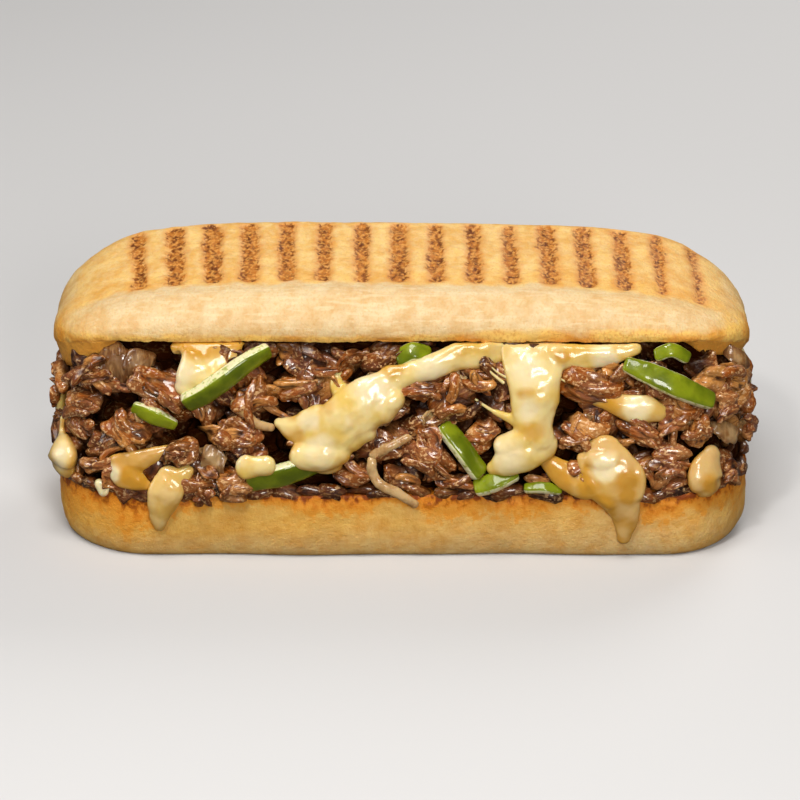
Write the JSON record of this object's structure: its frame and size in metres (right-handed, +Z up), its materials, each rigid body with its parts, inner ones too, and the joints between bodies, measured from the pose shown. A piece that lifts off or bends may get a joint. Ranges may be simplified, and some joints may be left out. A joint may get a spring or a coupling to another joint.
{
  "type": "panini sandwich",
  "caption": "Long pressed roll with rounded ends and grill marks across its crown, open along the front round shaved beef, green pepper strips, onion and melted cheese.",
  "frame": {"origin": "middle of the sandwich's outline seen from above, on the surface it lies on", "axes": "+X along the roll, +Z up through the halves, -Y towards the open side where the filling shows"},
  "size_m": [0.2338, 0.1018, 0.0853],
  "materials": {
    "crust": "toasted bread crust",
    "beef": "moist browned meat",
    "pepper": "soft fried green pepper",
    "cheese": "melted cheese",
    "onion": "soft fried onion"
  },
  "bodies": {
    "root": {"beef_heap": "beef", "bread_lower": "crust", "bread_upper": "crust", "cheese_back_left": "cheese", "cheese_back_right": "cheese", "cheese_centre": "cheese", "cheese_chip_left": "cheese", "cheese_drop_left": "cheese", "cheese_drop_right": "cheese", "cheese_drop_small": "cheese", "cheese_fold_left": "cheese", "cheese_left_end": "cheese", "cheese_low_left": "cheese", "cheese_low_right": "cheese", "cheese_pocket": "cheese", "cheese_right": "cheese", "cheese_right_end": "cheese", "cheese_top_left": "cheese", "onion_back": "onion", "onion_bent_lower": "onion", "onion_bent_upper": "onion", "onion_flake_left": "onion", "onion_flake_right": "onion", "onion_left": "onion", "onion_petal_inner": "onion", "onion_petal_left": "onion", "onion_right_end": "onion", "pepper_back_left": "pepper", "pepper_back_right": "pepper", "pepper_centre": "pepper", "pepper_curl_right": "pepper", "pepper_front_left": "pepper", "pepper_front_right": "pepper", "pepper_left_end": "pepper", "pepper_low_centre": "pepper", "pepper_low_left": "pepper", "pepper_low_right": "pepper", "pepper_tip_left": "pepper", "pepper_top_centre": "pepper"}
  },
  "joints": []
}
